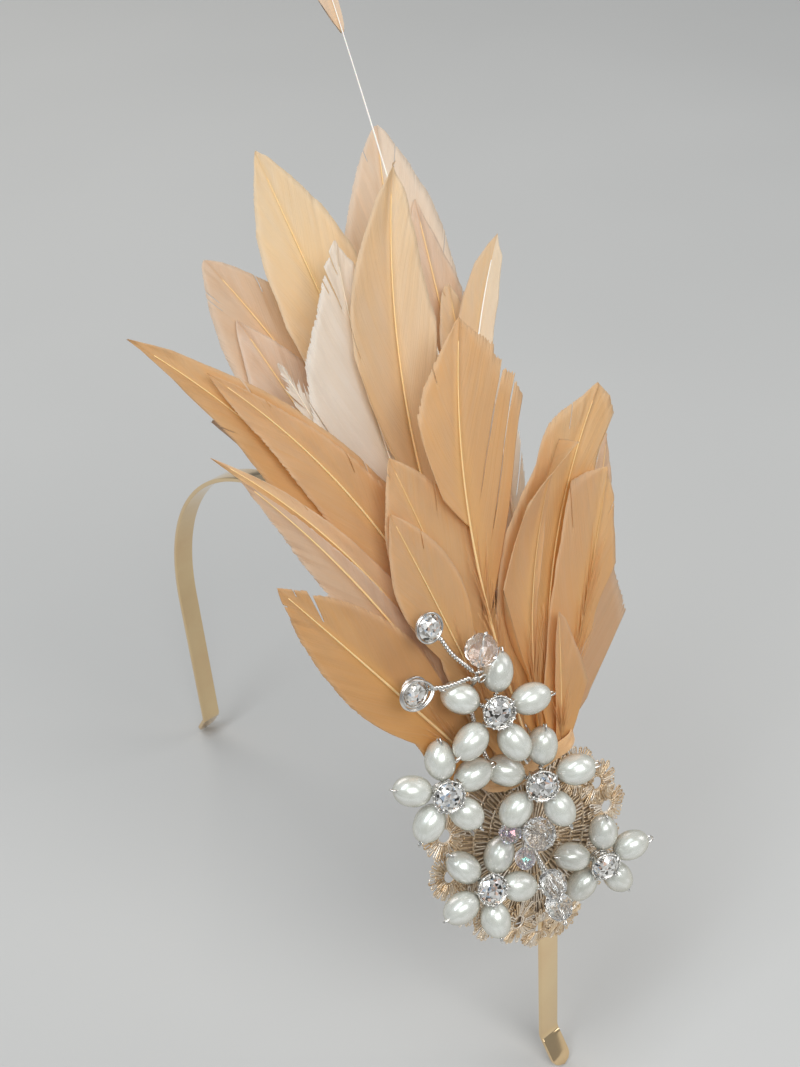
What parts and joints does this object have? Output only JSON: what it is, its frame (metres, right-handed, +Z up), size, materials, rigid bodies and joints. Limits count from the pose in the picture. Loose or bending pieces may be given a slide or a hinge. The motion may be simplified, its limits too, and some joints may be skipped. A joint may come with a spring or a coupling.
{
  "type": "fascinator headpiece",
  "caption": "Side fascinator on a slim metal headband: a fan of trimmed peach feathers over wired pearl flowers, crystals, a drop sprig and looped lace.",
  "frame": {"origin": "the centre of the crown arc", "axes": "+X towards the wearer's face, +Y towards the wearer's left, +Z up"},
  "size_m": [0.0843, 0.1513, 0.2284],
  "materials": {
    "gold_band": "mirror polished, gold plated",
    "felt": "short-napped felt",
    "buckram": "stiffened cloth",
    "lace": "metallic champagne thread, looped",
    "thread": "tight thread winding",
    "peach_feather": "trimmed goose feather, soft sheen",
    "pale_feather": "trimmed goose feather, soft sheen",
    "ivory_feather": "trimmed goose feather, soft sheen",
    "shaded_feather": "trimmed goose feather, soft sheen",
    "silver": "bright twisted wire and cast cups",
    "pearl": "nacre, soft lustre",
    "clear_glass": "faceted",
    "violet_glass": "faceted, iridescent",
    "blush_glass": "faceted"
  },
  "bodies": {
    "root": {"headband": "gold_band", "backing_felt": "felt", "base_plate": "buckram", "lace_base": "lace", "lace_scallops": "lace", "quill_binding": "thread", "feather_shaded_back": "shaded_feather", "feather_pale_outer": "pale_feather", "feather_pale_inner": "pale_feather", "feather_tall_back": "pale_feather", "feather_back_sliver": "pale_feather", "feather_tall_left": "peach_feather", "feather_small_round": "peach_feather", "feather_white_sliver": "ivory_feather", "feather_curled": "peach_feather", "feather_wisp": "ivory_feather", "feather_ivory": "ivory_feather", "feather_tall_centre": "peach_feather", "feather_right_pale": "pale_feather", "feather_sweep_upper": "peach_feather", "feather_sweep_lower": "peach_feather", "feather_left_narrow": "peach_feather", "feather_left_pink": "pale_feather", "feather_left_low": "peach_feather", "feather_inner_upper": "peach_feather", "feather_inner_lower": "peach_feather", "feather_front_diamond": "peach_feather", "feather_right_back": "peach_feather", "feather_right_left_half": "peach_feather", "feather_right_right_half": "peach_feather", "feather_right_small": "peach_feather", "middle_flower_wire": "silver", "middle_flower_pearls": "pearl", "left_flower_wire": "silver", "left_flower_pearls": "pearl", "lower_flower_wire": "silver", "lower_flower_pearls": "pearl", "right_flower_wire": "silver", "right_flower_pearls": "pearl", "flower_cups": "silver", "flower_stones": "clear_glass", "crystal_wires": "silver", "sprig_stem": "silver"},
    "top_flower": {"top_flower_wire": "silver", "top_flower_pearls": "pearl", "top_flower_cup": "silver", "top_flower_stone": "clear_glass"},
    "upper_drop": {"upper_drop_wire": "silver", "upper_drop_stone": "clear_glass"},
    "side_drop": {"side_drop_wire": "silver", "side_drop_stone": "clear_glass"},
    "arrow": {"arrow_feather": "pale_feather"},
    "round_crystal": {"round_crystal": "clear_glass"},
    "violet_crystal": {"violet_crystal": "violet_glass"},
    "long_crystal": {"long_crystal": "blush_glass"},
    "upper_clear_crystal": {"upper_clear_crystal": "clear_glass"},
    "lower_clear_crystal": {"lower_clear_crystal": "clear_glass"},
    "sprig_crystal": {"sprig_crystal": "blush_glass"}
  },
  "joints": [
    {"name": "top_flower_nod", "type": "hinge", "parent": "root", "child": "top_flower", "pos_m": [-0.002, -0.06638, 0.04598], "axis": [1, 0, 0], "range_deg": [0, 12], "stiffness_Nm_per_rad": 0.004},
    {"name": "upper_drop_lift", "type": "hinge", "parent": "root", "child": "upper_drop", "pos_m": [-0.013, -0.06256, 0.07225], "axis": [0.7286, -0.4102, 0.5485], "range_deg": [0, 30], "stiffness_Nm_per_rad": 0.002},
    {"name": "side_drop_lift", "type": "hinge", "parent": "root", "child": "side_drop", "pos_m": [-0.013, -0.06256, 0.07225], "axis": [0.2387, 0.3321, 0.9125], "range_deg": [0, 35], "stiffness_Nm_per_rad": 0.002},
    {"name": "arrow_sway", "type": "hinge", "parent": "root", "child": "arrow", "pos_m": [0.0006, -0.06003, 0.04207], "axis": [0, -0.9497, 0.3132], "range_deg": [-4, 4], "stiffness_Nm_per_rad": 0.004},
    {"name": "round_crystal_spin", "type": "hinge", "parent": "root", "child": "round_crystal", "pos_m": [-0.0082, -0.07284, 0.03524], "axis": [-0.2765, -0.7121, 0.6453], "continuous": true},
    {"name": "violet_crystal_spin", "type": "hinge", "parent": "root", "child": "violet_crystal", "pos_m": [-0.0128, -0.06986, 0.03671], "axis": [-0.6011, -0.4054, 0.6888], "continuous": true},
    {"name": "long_crystal_spin", "type": "hinge", "parent": "root", "child": "long_crystal", "pos_m": [-0.0139, -0.0751, 0.03489], "axis": [-0.5744, -0.6775, 0.4595], "continuous": true},
    {"name": "upper_clear_crystal_spin", "type": "hinge", "parent": "root", "child": "upper_clear_crystal", "pos_m": [-0.0072, -0.07548, 0.02215], "axis": [-0.1769, -0.8745, -0.4517], "continuous": true},
    {"name": "lower_clear_crystal_spin", "type": "hinge", "parent": "root", "child": "lower_clear_crystal", "pos_m": [-0.0064, -0.07629, 0.01553], "axis": [-0.0824, -0.6884, -0.7207], "continuous": true},
    {"name": "sprig_crystal_spin", "type": "hinge", "parent": "root", "child": "sprig_crystal", "pos_m": [-0.0121, -0.06297, 0.07815], "axis": [0.1506, -0.0683, 0.9862], "continuous": true}
  ]
}
